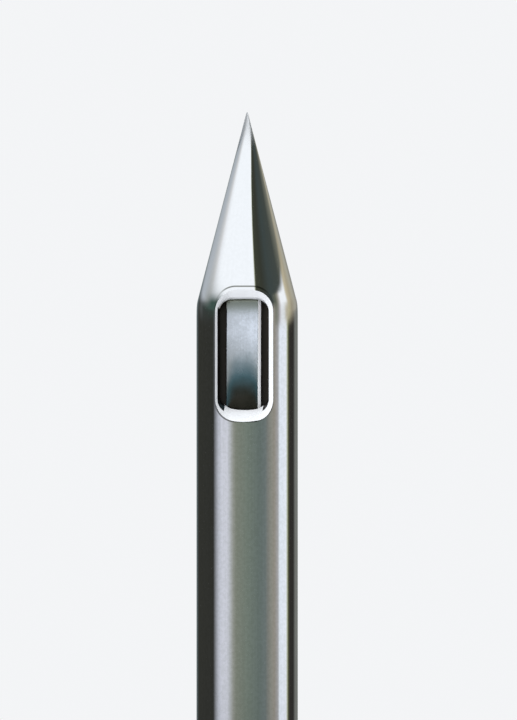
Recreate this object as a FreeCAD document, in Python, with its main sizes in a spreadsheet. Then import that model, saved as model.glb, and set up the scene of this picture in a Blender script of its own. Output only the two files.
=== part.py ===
# Spinal needle with a pencil point and one side port, standing on its stylet cap with the point up.
# Millimetres. The cannula runs along +Z, the port faces -Y and the origin is the middle of the cap's end face.
import FreeCAD
import Part
import Sketcher
import math
import os
import re

# Driving dimensions: alias, value, what it measures.
SIZES = (
    # Steel tube and its ground point, 25 gauge
    ("tube_diameter", 0.53, "outside of the steel tube"),
    ("lumen_diameter", 0.32, "inside of the steel tube"),
    ("needle_length", 88.0, "from the front of the hub to the point"),
    ("point_length", 1.02, "height of the ground cone"),
    ("shoulder_radius", 0.3, "blend from the tube into the cone"),
    ("point_flat", 0.006, "diameter left flat at the very tip before it is rounded"),
    ("point_rounding", 0.003, "radius of the very tip"),
    ("port_setback", 0.975, "from the point back to the near end of the side port"),
    ("port_length", 0.60, "side port along the tube"),
    ("port_width", 0.265, "side port across the tube"),
    ("port_corner_radius", 0.07, "corners of the side port"),
    ("port_bevel_depth", 0.07, "how deep the port's edge is bevelled"),
    ("port_bevel_width", 0.055, "how far that bevel spreads over this depth"),
    ("lumen_past_port", 0.08, "lumen left open beyond the near end of the port"),
    ("tube_seat_length", 7.0, "tube held inside the hub"),
    # Stylet wire
    ("stylet_clearance", 0.015, "air all round between the wire and the lumen"),
    ("stylet_past_port", 0.05, "stylet reaching beyond the near end of the port"),
    ("facet_depth", 0.03, "flat ground on the stylet where it faces the port"),
    ("facet_past_port", 0.10, "that flat running on behind the far end of the port"),
    ("stylet_chamfer", 0.02, "broken edge at the stylet's end"),
    ("tail_start", 3.2, "height of the stylet's flattened tail above the cap's end"),
    ("tail_length", 1.8, "flattened tail that anchors the wire in the cap"),
    ("tail_width", 0.62, "flattened tail across"),
    ("tail_thickness", 0.14, "flattened tail, thin way"),
    # Hub
    ("socket_mouth_diameter", 4.29, "conical socket at its open end"),
    ("socket_taper", 0.06, "loss of diameter per length in the conical socket"),
    ("socket_depth", 8.6, "depth of the conical socket"),
    ("barrel_length", 8.4, "round barrel around the socket"),
    ("barrel_diameter", 6.2, "round barrel, outside"),
    ("lug_span", 7.8, "across the two locking lugs"),
    ("lug_flats", 6.5, "across the flats between the lugs"),
    ("lug_thickness", 1.2, "locking lugs along the axis"),
    ("block_length", 8.2, "square chamber block along the axis"),
    ("block_margin", 0.2, "square chamber block standing off the barrel, each side"),
    ("block_corner_radius", 1.1, "corners of the chamber block"),
    ("chamber_diameter", 2.6, "flashback chamber"),
    ("funnel_length", 1.3, "funnel from the chamber into the tube"),
    ("funnel_mouth_gap", 0.02, "funnel's small end, wider than the lumen all round"),
    ("glue_gap", 0.03, "bore in the hub, wider than the tube all round"),
    ("shoulder_taper_length", 1.6, "cone from the block to the nose"),
    ("shoulder_taper_diameter", 5.6, "that cone at the block"),
    ("nose_length", 6.4, "straight nose that takes a sheath"),
    ("nose_diameter", 4.2, "straight nose, outside"),
    ("nose_chamfer", 0.4, "chamfer on the end of the nose"),
    ("well_diameter", 1.9, "adhesive well in the end of the nose"),
    ("well_floor_diameter", 1.1, "adhesive well at its bottom"),
    ("well_depth", 2.4, "adhesive well"),
    ("meniscus_height", 0.5, "adhesive creeping up the tube"),
    ("wing_span", 18.0, "across both finger wings"),
    ("wing_height", 6.6, "finger wings along the axis"),
    ("wing_thickness", 1.5, "finger wings, thin way"),
    ("wing_corner_radius", 2.4, "corners of the finger wings"),
    ("wing_edge_radius", 0.45, "rounded rim of the finger wings"),
    ("wing_rib_width", 0.5, "grip rib on a wing, across"),
    ("wing_rib_length", 4.0, "grip rib on a wing, along the axis"),
    ("wing_rib_height", 0.25, "grip rib standing off a wing"),
    ("wing_rib_pitch", 1.15, "from one grip rib to the next"),
    ("wing_rib_start", 5.0, "from the axis to the innermost grip rib"),
    ("lens_width", 4.4, "magnifying lens across the front of the block"),
    ("lens_bulge", 0.7, "lens standing off the block"),
    ("lens_margin", 0.9, "block left plain above and below the lens"),
    # Stylet cap
    ("cap_length", 11.0, "cap from its end face to the hub"),
    ("seat_gap", 0.05, "air between the cap's shoulder and the hub's mouth"),
    ("plate_width", 13.0, "thumb plate, long way"),
    ("plate_depth", 8.8, "thumb plate, short way"),
    ("plate_thickness", 1.8, "thumb plate along the axis"),
    ("plate_corner_radius", 3.2, "corners of the thumb plate"),
    ("plate_edge_radius", 0.5, "rounded rim of the thumb plate"),
    ("waist_step", 0.7, "collar standing off the waist's long way, each side"),
    ("waist_depth", 5.2, "waist of the cap, short way"),
    ("waist_corner_radius", 2.0, "corners of the waist"),
    ("collar_diameter", 8.8, "collar against the hub"),
    ("collar_thickness", 1.6, "collar along the axis"),
    ("collar_chamfer", 0.35, "chamfer on the collar's lower rim"),
    ("grip_rib_width", 0.55, "grip rib on the waist, along the axis"),
    ("grip_rib_length", 5.6, "grip rib on the waist, across"),
    ("grip_rib_height", 0.4, "grip rib standing off the waist"),
    ("grip_rib_draft", 0.13, "slope on either flank of a grip rib"),
    ("grip_rib_margin", 1.1, "from either end of the waist to the middle of the nearest grip rib"),
    ("core_width", 1.7, "moulding recess under the cap, across"),
    ("core_depth", 3.0, "moulding recess under the cap, short way"),
    ("core_height", 5.2, "moulding recess under the cap, along the axis"),
    ("core_offset", 2.15, "from the axis to the middle of a moulding recess"),
    ("core_corner_radius", 0.6, "corners of a moulding recess"),
    ("plug_length", 6.8, "conical plug in the hub's socket"),
    ("plug_clearance", 0.03, "air all round between plug and socket when seated"),
    ("plug_edge", 0.25, "chamfer on the end of the plug"),
    ("bond_diameter", 1.4, "adhesive pocket round the wire in the plug's end"),
    ("bond_depth", 1.6, "that pocket's depth"),
    ("bond_crown", 0.15, "adhesive rising round the wire"),
    ("key_width", 1.6, "tongue that shows which way the port faces"),
    ("key_height", 1.3, "tongue standing up from the cap's collar"),
    ("key_thickness", 0.5, "tongue, radially"),
    ("key_clearance", 0.1, "air round the tongue in the hub's notch"),
)

# Heights along the axis and other values that follow from the driving dimensions.
LEVELS = (
    ("block_side", "barrel_diameter + 2 * block_margin"),
    ("waist_width", "collar_diameter - 2 * waist_step"),
    ("mouth", "cap_length + seat_gap"),
    ("block_start", "mouth + barrel_length"),
    ("block_middle", "block_start + block_length / 2"),
    ("block_end", "block_start + block_length"),
    ("nose_start", "block_end + shoulder_taper_length"),
    ("nose_end", "nose_start + nose_length"),
    ("point", "nose_end + needle_length"),
    ("cone_base", "point - point_length"),
    ("port_near", "point - port_setback"),
    ("port_far", "port_near - port_length"),
    ("port_middle", "port_near - port_length / 2"),
    ("cone_slant", "sqrt(point_length * point_length + tube_diameter * tube_diameter / 4)"),
    ("shoulder_reach", "shoulder_radius * 2 * (cone_slant - point_length) / tube_diameter"),
    ("lumen_end", "port_near + lumen_past_port"),
    ("lumen_meets_cone", "point - point_length * lumen_diameter / tube_diameter"),
    ("stylet_end", "port_near + stylet_past_port"),
    ("facet_start", "port_far - facet_past_port"),
    ("tube_rear", "nose_end - tube_seat_length"),
    ("funnel_start", "tube_rear - funnel_length"),
    ("well_floor", "nose_end - well_depth"),
    ("waist_end", "cap_length - collar_thickness"),
    ("grip_rib_first", "plate_thickness + grip_rib_margin"),
    ("grip_rib_pitch", "(waist_end - grip_rib_margin - grip_rib_first) / 4"),
    ("stylet_diameter", "lumen_diameter - 2 * stylet_clearance"),
    ("socket_end", "mouth + socket_depth"),
    ("socket_end_radius", "socket_mouth_diameter / 2 - socket_depth * socket_taper / 2"),
    ("plug_end", "cap_length + plug_length"),
    ("plug_root_radius", "socket_mouth_diameter / 2 + seat_gap * socket_taper / 2 - plug_clearance"),
    ("plug_end_radius", "plug_root_radius - plug_length * socket_taper / 2"),
    ("notch_face", "lug_flats / 2 - key_thickness - key_clearance"),
    ("lens_radius", "lens_width * lens_width / (8 * lens_bulge) + lens_bulge / 2"),
)

WORDS = {name: "Sizes" for name, _, _ in SIZES}
WORDS.update({name: "Levels" for name, _ in LEVELS})
START, END, CENTRE = range(1, 4)  # the points of a line or an arc in a sketch
ORIGIN, UPRIGHT = range(-1, -3, -1)  # a sketch's own origin point and vertical axis


def formula(text):
    """The expression with each name led by the object that holds it."""
    return re.sub(r"[a-z]\w*", lambda m: f"{WORDS[m[0]]}.{m[0]}" if m[0] in WORDS else m[0], str(text))


def number(item, text):
    """What a formula comes to now."""
    result = item.Document.getObject("Sizes").evalExpression(formula(text))
    return float(getattr(result, "Value", result))


def bind(item, **formulas):
    for name, text in formulas.items():
        item.setExpression(name, formula(text))


def add_sizes(doc):
    sheet = doc.addObject("Spreadsheet::Sheet", "Sizes")
    for row, (alias, value, meaning) in enumerate(SIZES, start=1):
        sheet.set(f"A{row}", meaning)
        sheet.set(f"B{row}", str(value))
        sheet.setAlias(f"B{row}", alias)
    doc.recompute()
    levels = doc.addObject("App::VarSet", "Levels")
    for name, text in LEVELS:
        levels.addProperty("App::PropertyFloat", name, "Levels")
        levels.setExpression(name, formula(text))
        doc.recompute()


# Sketches

def sketch_on(body, name, role, offset="0"):
    """A sketch on one of the body's own planes, moved off it by offset along the plane's normal."""
    sketch = body.newObject("Sketcher::SketchObject", name)
    plane = next(f for f in body.Origin.OriginFeatures if f.Role == role)
    sketch.AttachmentSupport = [(plane, "")]
    sketch.MapMode = "FlatFace"
    sketch.setExpression("AttachmentOffset.Base.z", formula(offset))
    return sketch


def locate(sketch, element, point, x, y):
    """Holds one point of an element at the place that two formulas give."""
    for kind, text in (("DistanceX", x), ("DistanceY", y)):
        if kind == "DistanceX" and text == "0":
            sketch.addConstraint(Sketcher.Constraint("PointOnObject", element, point, UPRIGHT))
            continue
        now = number(sketch, text)
        held = sketch.addConstraint(Sketcher.Constraint(kind, ORIGIN, START, element, point, now))
        sketch.setExpression(f"Constraints[{held}]", formula(text))


def polygon(sketch, *corners):
    """A closed outline, anticlockwise. Each corner is a pair of formulas, and a third one is the radius of an
    arc from there to the next corner, bulging outwards. Without it that side is straight."""
    points = [FreeCAD.Vector(number(sketch, corner[0]), number(sketch, corner[1]), 0) for corner in corners]
    first = sketch.GeometryCount
    for start, end, (_, _, *radius) in zip(points, points[1:] + points[:1], corners):
        side = Part.LineSegment(start, end)
        if radius:
            chord = end - start
            bend = number(sketch, radius[0])
            rise = bend - math.sqrt(bend ** 2 - chord.Length ** 2 / 4)
            outwards = FreeCAD.Vector(chord.y, -chord.x, 0) * (rise / chord.Length)
            side = Part.Arc(start, (start + end) / 2 + outwards, end)
        sketch.addGeometry(side)
    for index, (x, y, *radius) in enumerate(corners):
        side, following = first + index, first + (index + 1) % len(corners)
        sketch.addConstraint(Sketcher.Constraint("Coincident", side, END, following, START))
        locate(sketch, side, START, x, y)
        if radius:
            held = sketch.addConstraint(Sketcher.Constraint("Radius", side, number(sketch, radius[0])))
            sketch.setExpression(f"Constraints[{held}]", formula(radius[0]))


def circle(sketch, x, y, diameter):
    centre = FreeCAD.Vector(number(sketch, x), number(sketch, y), 0)
    ring = sketch.addGeometry(Part.Circle(centre, FreeCAD.Vector(0, 0, 1), number(sketch, diameter) / 2))
    if (x, y) == ("0", "0"):
        sketch.addConstraint(Sketcher.Constraint("Coincident", ring, CENTRE, ORIGIN, START))
    else:
        locate(sketch, ring, CENTRE, x, y)
    held = sketch.addConstraint(Sketcher.Constraint("Diameter", ring, number(sketch, diameter)))
    sketch.setExpression(f"Constraints[{held}]", formula(diameter))


def rectangle(sketch, x, y, width, height):
    left, right = f"{x} - ({width}) / 2", f"{x} + ({width}) / 2"
    low, high = f"{y} - ({height}) / 2", f"{y} + ({height}) / 2"
    polygon(sketch, (left, low), (right, low), (right, high), (left, high))


def rounded_rectangle(sketch, x, y, width, height, radius):
    """Four corner arcs joined by tangent lines, going round from the lower right."""
    in_x, in_y = f"(({width}) / 2 - ({radius}))", f"(({height}) / 2 - ({radius}))"
    centres = [(f"{x} + {in_x}", f"{y} - {in_y}"), (f"{x} + {in_x}", f"{y} + {in_y}"),
               (f"{x} - {in_x}", f"{y} + {in_y}"), (f"{x} - {in_x}", f"{y} - {in_y}")]
    now = number(sketch, radius)
    upward = FreeCAD.Vector(0, 0, 1)
    arcs = []
    for index, (cx, cy) in enumerate(centres):
        ring = Part.Circle(FreeCAD.Vector(number(sketch, cx), number(sketch, cy), 0), upward, now)
        turn = (index - 1) * math.pi / 2
        arcs.append(sketch.addGeometry(Part.ArcOfCircle(ring, turn, turn + math.pi / 2)))
        locate(sketch, arcs[-1], CENTRE, cx, cy)
        held = sketch.addConstraint(Sketcher.Constraint("Radius", arcs[-1], now))
        sketch.setExpression(f"Constraints[{held}]", formula(radius))
    for arc, following in zip(arcs, arcs[1:] + arcs[:1]):
        ends = sketch.Geometry[arc].EndPoint, sketch.Geometry[following].StartPoint
        line = sketch.addGeometry(Part.LineSegment(*ends))
        sketch.addConstraint(Sketcher.Constraint("Tangent", arc, END, line, START))
        sketch.addConstraint(Sketcher.Constraint("Tangent", line, END, following, START))


# Features

def new_body(doc, label):
    body = doc.addObject("PartDesign::Body", label)
    body.Label = label
    return body


def turned(body, sketch, kind="Revolution"):
    """The sketch turned all the way round its vertical axis."""
    feature = body.newObject(f"PartDesign::{kind}", f"{sketch.Name}_turned")
    feature.Profile = sketch
    feature.ReferenceAxis = (sketch, ["V_Axis"])
    feature.Angle = 360
    sketch.Visibility = False
    body.Document.recompute()
    return feature


def pad(body, sketch, length, midplane=False):
    feature = body.newObject("PartDesign::Pad", f"{sketch.Name}_pad")
    feature.Profile = sketch
    feature.SideType = "Symmetric" if midplane else "One side"
    bind(feature, Length=length)
    body.Document.recompute()
    return feature


def pocket(body, sketch, length, midplane=False, along_normal=False):
    feature = body.newObject("PartDesign::Pocket", f"{sketch.Name}_pocket")
    feature.Profile = sketch
    feature.SideType = "Symmetric" if midplane else "One side"
    feature.Reversed = along_normal
    bind(feature, Length=length)
    before = feature.BaseFeature.Shape.Volume
    body.Document.recompute()
    if body.Shape.Volume >= before:
        raise RuntimeError(f"{sketch.Name} cuts nothing")
    return feature


def repeat(body, feature, sketch, axis, count, spacing):
    """Copies of a feature along an axis of its sketch."""
    row = body.newObject("PartDesign::LinearPattern", f"{feature.Name}_row")
    row.Originals = [feature]
    row.Direction = (sketch, [axis])
    row.Mode = "Spacing"
    row.Occurrences = count
    bind(row, Offset=spacing)
    body.Tip = row
    body.Document.recompute()
    return row


def soften(body, name, radius, chosen, kind="Fillet"):
    """A fillet, or a chamfer, on the edges of the body that chosen picks."""
    base = body.Tip
    edges = [f"Edge{i}" for i, edge in enumerate(base.Shape.Edges, start=1) if chosen(edge)]
    if not edges:
        raise RuntimeError(f"no edge for {name}")
    feature = body.newObject(f"PartDesign::{kind}", name)
    feature.Base = (base, edges)
    bind(feature, **{"Radius" if kind == "Fillet" else "Size": radius})
    body.Document.recompute()
    if feature.Shape.isNull():
        raise RuntimeError(f"{name} fails")
    return feature


def near(a, b):
    return abs(a - b) < 1e-4


def ring_at(item, height, diameter):
    """Picks full circles round the axis at that height."""
    z, radius = number(item, height), number(item, diameter) / 2

    def chosen(edge):
        curve = edge.Curve
        return isinstance(curve, Part.Circle) and near(curve.Radius, radius) and near(curve.Center.z, z) \
            and near(curve.Center.x, 0) and near(curve.Center.y, 0)
    return chosen


def level_at(item, height):
    """Picks edges that lie flat at that height."""
    z = number(item, height)

    def chosen(edge):
        return near(edge.BoundBox.ZMin, z) and near(edge.BoundBox.ZMax, z)
    return chosen


# Needle: tube, point, hub and the adhesive that joins them

def cannula_tube(doc):
    """Drawn tube whose end is ground to a cone through its wall, with one bevelled port cut in the side."""
    body = new_body(doc, "cannula_tube")
    wall = sketch_on(body, "tube_wall", "XZ_Plane")
    polygon(wall, ("lumen_diameter / 2", "tube_rear"), ("tube_diameter / 2", "tube_rear"),
            ("tube_diameter / 2", "cone_base - shoulder_reach", "shoulder_radius"),
            ("tube_diameter / 2 * (1 - shoulder_reach / cone_slant)",
             "cone_base + point_length * shoulder_reach / cone_slant"),
            ("lumen_diameter / 2", "lumen_meets_cone"))
    turned(body, wall)
    port = sketch_on(body, "side_port", "XZ_Plane")
    rounded_rectangle(port, "0", "port_middle", "port_width", "port_length", "port_corner_radius")
    pocket(body, port, "tube_diameter", along_normal=True)

    # The bevel meets the port's own outline one depth down. It runs from inside that outline, two depths down,
    # to a depth outside the tube, and spreads by its width for each depth on the way.
    root = sketch_on(body, "bevel_root", "XZ_Plane", "tube_diameter / 2 - 2 * port_bevel_depth")
    rounded_rectangle(root, "0", "port_middle", "port_width - 2 * port_bevel_width",
                      "port_length - 2 * port_bevel_width", "port_corner_radius - port_bevel_width")
    brim = sketch_on(body, "bevel_brim", "XZ_Plane", "tube_diameter / 2 + port_bevel_depth")
    rounded_rectangle(brim, "0", "port_middle", "port_width + 4 * port_bevel_width",
                      "port_length + 4 * port_bevel_width", "port_corner_radius + 2 * port_bevel_width")
    bevel = body.newObject("PartDesign::SubtractiveLoft", "port_bevel")
    bevel.Profile = root
    bevel.Sections = [brim]
    bevel.Ruled = True
    doc.recompute()
    return body


def point_core(doc):
    """Solid wire plug welded into the tube's end and ground with it, so that it carries the tip of the cone."""
    body = new_body(doc, "point_core")
    half = sketch_on(body, "core_half", "XZ_Plane")
    flat_level = "point - point_length * point_flat / tube_diameter"
    polygon(half, ("0", "lumen_end"), ("lumen_diameter / 2", "lumen_end"),
            ("lumen_diameter / 2", "lumen_meets_cone"), ("point_flat / 2", flat_level), ("0", flat_level))
    turned(body, half)
    soften(body, "tip_rounding", "point_rounding", ring_at(body, flat_level, "point_flat"))
    return body


def needle_hub(doc):
    """Clear moulded hub: locking lugs, barrel, chamber block with lens and wings, and nose."""
    body = new_body(doc, "needle_hub")
    outline = sketch_on(body, "hub_outline", "XZ_Plane")
    polygon(outline, ("0", "mouth"), ("lug_span / 2", "mouth"), ("lug_span / 2", "mouth + lug_thickness"),
            ("barrel_diameter / 2", "mouth + lug_thickness"), ("barrel_diameter / 2", "block_start"),
            ("shoulder_taper_diameter / 2", "block_end"), ("nose_diameter / 2", "nose_start"),
            ("nose_diameter / 2", "nose_end"), ("0", "nose_end"))
    turned(body, outline)
    soften(body, "nose_edge", "nose_chamfer", ring_at(body, "nose_end", "nose_diameter"), "Chamfer")

    # Two flats leave the locking lugs to left and right.
    flats = sketch_on(body, "lug_flats_cut", "XY_Plane", "mouth")
    beyond = "(lug_flats + lug_span) / 2"
    for side in ("-", "+"):
        rectangle(flats, "0", f"0 {side} {beyond}", "2 * lug_span", "lug_span")
    pocket(body, flats, "lug_thickness", along_normal=True)

    block = sketch_on(body, "chamber_block", "XY_Plane", "block_start")
    rounded_rectangle(block, "0", "0", "block_side", "block_side", "block_corner_radius")
    pad(body, block, "block_length")
    add_lens(body)
    add_wings(body)
    cut_hub_cavity(body)

    notch = sketch_on(body, "key_notch", "XY_Plane", "mouth")
    rectangle(notch, "0", "0 - notch_face - lug_span / 2", "key_width + 2 * key_clearance", "lug_span")
    pocket(body, notch, "key_height + key_clearance", along_normal=True)
    return body


def add_lens(body):
    """Cylindrical magnifier on the block's front face, over the flashback chamber."""
    lens = sketch_on(body, "lens_section", "XY_Plane", "block_start + lens_margin")
    left, right, face = "0 - lens_width / 2", "lens_width / 2", "0 - block_side / 2"
    polygon(lens, (left, face, "lens_radius"), (right, face), (right, "0"), (left, "0"))
    pad(body, lens, "block_length - 2 * lens_margin")


def add_wings(body):
    """One plate through the block makes both finger wings; ribs stand off its two faces."""
    plate = sketch_on(body, "wing_plate", "XZ_Plane")
    rounded_rectangle(plate, "0", "block_middle", "wing_span", "wing_height", "wing_corner_radius")
    pad(body, plate, "wing_thickness", midplane=True)
    reach, thick = number(body, "block_side / 2"), number(body, "wing_thickness / 2")

    def rim(edge):
        box = edge.BoundBox
        flat = near(box.YMin, box.YMax) and near(abs(box.YMin), thick)
        return flat and max(abs(box.XMin), abs(box.XMax)) > reach + 1e-3
    soften(body, "wing_rim", "wing_edge_radius", rim)

    ribs = sketch_on(body, "wing_ribs", "XZ_Plane")
    for side in ("-", "+"):
        for index in range(3):
            middle = f"0 {side} (wing_rib_start + {index} * wing_rib_pitch)"
            rectangle(ribs, middle, "block_middle", "wing_rib_width", "wing_rib_length")
    pad(body, ribs, "wing_thickness + 2 * wing_rib_height", midplane=True)


def cut_hub_cavity(body):
    """Conical socket, flashback chamber, funnel, tube bore and adhesive well, in one turned cut."""
    cavity = sketch_on(body, "hub_cavity", "XZ_Plane")
    polygon(cavity, ("0", "mouth"), ("socket_mouth_diameter / 2", "mouth"), ("socket_end_radius", "socket_end"),
            ("chamber_diameter / 2", "socket_end"), ("chamber_diameter / 2", "funnel_start"),
            ("lumen_diameter / 2 + funnel_mouth_gap", "tube_rear"), ("tube_diameter / 2 + glue_gap", "tube_rear"),
            ("tube_diameter / 2 + glue_gap", "well_floor"), ("well_floor_diameter / 2", "well_floor"),
            ("well_diameter / 2", "nose_end"), ("0", "nose_end"))
    turned(body, cavity, "Groove")


def cannula_bond(doc):
    """Adhesive that fills the gap round the tube and the well, and creeps a little way up the tube."""
    body = new_body(doc, "cannula_bond")
    half = sketch_on(body, "bond_half", "XZ_Plane")
    polygon(half, ("tube_diameter / 2", "tube_rear"), ("tube_diameter / 2 + glue_gap", "tube_rear"),
            ("tube_diameter / 2 + glue_gap", "well_floor"), ("well_floor_diameter / 2", "well_floor"),
            ("well_diameter / 2", "nose_end"), ("tube_diameter", "nose_end + meniscus_height / 3"),
            ("tube_diameter / 2", "nose_end + meniscus_height"))
    turned(body, half)
    return body


# Stylet: wire, cap and the adhesive that joins them

def stylet_wire(doc):
    """Wire that closes the lumen and the port, with a flat ground on it behind the port and a flattened tail."""
    body = new_body(doc, "stylet_wire")
    section = sketch_on(body, "wire_section", "XY_Plane", "tail_start")
    circle(section, "0", "0", "stylet_diameter")
    pad(body, section, "stylet_end - tail_start")
    soften(body, "wire_end", "stylet_chamfer", ring_at(body, "stylet_end", "stylet_diameter"), "Chamfer")

    facet = sketch_on(body, "port_facet", "XZ_Plane", "stylet_diameter / 2 - facet_depth")
    length = "stylet_end - facet_start"
    rectangle(facet, "0", f"stylet_end - ({length}) / 2", "2 * stylet_diameter", length)
    pocket(body, facet, "stylet_diameter", along_normal=True)

    tail = sketch_on(body, "wire_tail", "XY_Plane", "tail_start")
    rectangle(tail, "0", "0", "tail_width", "tail_thickness")
    pad(body, tail, "tail_length")
    return body


def stylet_cap(doc):
    """Coloured cap: thumb plate, ribbed waist, collar with the orienting tongue, and conical plug."""
    body = new_body(doc, "stylet_cap")
    plate = sketch_on(body, "thumb_plate", "XY_Plane")
    rounded_rectangle(plate, "0", "0", "plate_width", "plate_depth", "plate_corner_radius")
    pad(body, plate, "plate_thickness")
    soften(body, "plate_rim", "plate_edge_radius", level_at(body, "plate_thickness"))

    waist = sketch_on(body, "waist_section", "XY_Plane")
    rounded_rectangle(waist, "0", "0", "waist_width", "waist_depth", "waist_corner_radius")
    pad(body, waist, "waist_end")
    rib = sketch_on(body, "grip_rib", "YZ_Plane")
    root, crest = "waist_depth / 2", "(waist_depth / 2 + grip_rib_height)"
    low, high = "grip_rib_first - grip_rib_width / 2", "grip_rib_first + grip_rib_width / 2"
    crest_low, crest_high = f"{low} + grip_rib_draft", f"{high} - grip_rib_draft"
    polygon(rib, (f"0 - {root}", low), (root, low), (crest, crest_low), (crest, crest_high), (root, high),
            (f"0 - {root}", high), (f"0 - {crest}", crest_high), (f"0 - {crest}", crest_low))
    ribs = pad(body, rib, "grip_rib_length", midplane=True)
    repeat(body, ribs, rib, "V_Axis", 5, "grip_rib_pitch")

    collar = sketch_on(body, "collar_disc", "XY_Plane", "waist_end")
    circle(collar, "0", "0", "collar_diameter")
    pad(body, collar, "collar_thickness")
    soften(body, "collar_rim", "collar_chamfer", ring_at(body, "waist_end", "collar_diameter"), "Chamfer")

    plug = sketch_on(body, "plug_half", "XZ_Plane")
    polygon(plug, ("0", "cap_length"), ("plug_root_radius", "cap_length"), ("plug_end_radius", "plug_end"),
            ("0", "plug_end"))
    turned(body, plug)
    soften(body, "plug_lead_in", "plug_edge", ring_at(body, "plug_end", "2 * plug_end_radius"), "Chamfer")

    key = sketch_on(body, "key_tongue", "XY_Plane", "cap_length")
    rectangle(key, "0", "0 - (lug_flats - key_thickness) / 2", "key_width", "key_thickness")
    pad(body, key, "key_height")
    cut_cap_recesses(body)
    return body


def cut_cap_recesses(body):
    """Moulding recesses underneath, the seat of the wire and its tail, and the adhesive pocket."""
    cores = sketch_on(body, "moulding_recess", "XY_Plane")
    for side in ("-", "+"):
        rounded_rectangle(cores, f"0 {side} core_offset", "0", "core_width", "core_depth", "core_corner_radius")
    pocket(body, cores, "core_height", along_normal=True)

    seat = sketch_on(body, "wire_seat", "XY_Plane", "tail_start")
    circle(seat, "0", "0", "stylet_diameter")
    pocket(body, seat, "plug_end - tail_start", along_normal=True)
    tail = sketch_on(body, "tail_seat", "XY_Plane", "tail_start")
    rectangle(tail, "0", "0", "tail_width", "tail_thickness")
    pocket(body, tail, "tail_length", along_normal=True)
    glue = sketch_on(body, "bond_pocket", "XY_Plane", "plug_end - bond_depth")
    circle(glue, "0", "0", "bond_diameter")
    pocket(body, glue, "bond_depth", along_normal=True)


def stylet_bond(doc):
    """Adhesive in the end of the plug, slightly crowned where it meets the wire."""
    body = new_body(doc, "stylet_bond")
    half = sketch_on(body, "wire_bond_half", "XZ_Plane")
    polygon(half, ("stylet_diameter / 2", "plug_end - bond_depth"), ("bond_diameter / 2", "plug_end - bond_depth"),
            ("bond_diameter / 2", "plug_end"), ("stylet_diameter / 2", "plug_end + bond_crown"))
    turned(body, half)
    return body


def main():
    doc = FreeCAD.newDocument("SpinalNeedle")
    add_sizes(doc)
    makers = (cannula_tube, point_core, needle_hub, cannula_bond, stylet_wire, stylet_cap, stylet_bond)
    bodies = [maker(doc) for maker in makers]
    doc.recompute()

    failed = [item.Label for item in doc.Objects if {"Invalid", "Error"} & set(item.State)]
    if failed:
        raise RuntimeError(f"these did not compute: {failed}")
    os.makedirs("parts", exist_ok=True)
    for body in bodies:
        shape = body.Shape
        if shape.isNull() or not shape.isValid() or not shape.Solids:
            raise RuntimeError(f"{body.Label} is not a sound solid")
        shape.exportStep(f"parts/{body.Label}.step")
        box = shape.BoundBox
        print(f"{body.Label}: {len(shape.Solids)} solid, {shape.Volume:.4f} mm3, "
              f"{box.XLength:.3f} x {box.YLength:.3f} x {box.ZLength:.3f} mm, z {box.ZMin:.3f} to {box.ZMax:.3f}")


main()
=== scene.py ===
import bpy
import math
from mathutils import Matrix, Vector


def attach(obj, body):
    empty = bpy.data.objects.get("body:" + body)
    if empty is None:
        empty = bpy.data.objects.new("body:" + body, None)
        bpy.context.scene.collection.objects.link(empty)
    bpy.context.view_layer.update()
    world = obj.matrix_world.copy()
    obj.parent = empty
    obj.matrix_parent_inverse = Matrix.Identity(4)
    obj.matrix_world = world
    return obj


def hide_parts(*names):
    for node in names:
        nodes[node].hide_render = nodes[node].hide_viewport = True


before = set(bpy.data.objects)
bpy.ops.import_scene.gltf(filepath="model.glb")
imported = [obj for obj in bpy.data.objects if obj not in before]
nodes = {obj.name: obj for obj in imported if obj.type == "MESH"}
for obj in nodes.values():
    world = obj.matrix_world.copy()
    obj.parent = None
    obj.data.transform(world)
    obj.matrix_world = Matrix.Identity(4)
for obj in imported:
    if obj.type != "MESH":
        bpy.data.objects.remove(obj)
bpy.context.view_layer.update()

# Heights on the axis, in millimetres, as the CAD part has them
levels = {"point": 123.65, "tubeRear": 28.65, "coneBase": 122.63, "portMiddle": 122.375, "lumenEnd": 122.755,
          "styletEnd": 122.725, "facetStart": 121.975, "tailStart": 3.2}

# The photograph's view: a close-up of the last 3 mm, level with the port and a little to its right
view = {"lens": 400, "distance": 0.04186, "turn": math.radians(4.5), "right": 0.0000594,
        "belowPoint": 0.001308}


# Working in the view: select by place, then use the usual edit tools

def startFresh():
    if bpy.context.mode != "OBJECT":
        bpy.ops.object.mode_set(mode="OBJECT")
    bpy.ops.object.select_all(action="DESELECT")


def editAll():
    bpy.ops.object.mode_set(mode="EDIT")
    bpy.ops.mesh.select_all(action="SELECT")


def pickOnly(piece):
    startFresh()
    piece.select_set(True)
    bpy.context.view_layer.objects.active = piece


def selectFaces(piece, wanted):
    bpy.ops.object.mode_set(mode="EDIT")
    bpy.ops.mesh.select_mode(type="FACE")
    bpy.ops.mesh.select_all(action="DESELECT")
    bpy.ops.object.mode_set(mode="OBJECT")
    for face in piece.data.polygons:
        face.select = wanted(face)
    bpy.ops.object.mode_set(mode="EDIT")


def selectEdges(piece, wanted):
    bpy.ops.object.mode_set(mode="EDIT")
    bpy.ops.mesh.select_mode(type="EDGE")
    bpy.ops.mesh.select_all(action="DESELECT")
    bpy.ops.object.mode_set(mode="OBJECT")
    points = piece.data.vertices
    for edge in piece.data.edges:
        edge.select = wanted(points[edge.vertices[0]].co, points[edge.vertices[1]].co)
    bpy.ops.object.mode_set(mode="EDIT")


def applyModifier(piece, kind, **values):
    pickOnly(piece)
    modifier = piece.modifiers.new(kind.title(), kind)
    for name, value in values.items():
        setattr(modifier, name, value)
    bpy.ops.object.modifier_apply(modifier=modifier.name)


def cutWith(piece, cutter, operation="DIFFERENCE"):
    applyModifier(piece, "BOOLEAN", object=cutter, operation=operation, solver="EXACT",
                  material_mode="TRANSFER")
    bpy.data.objects.remove(cutter)


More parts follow.
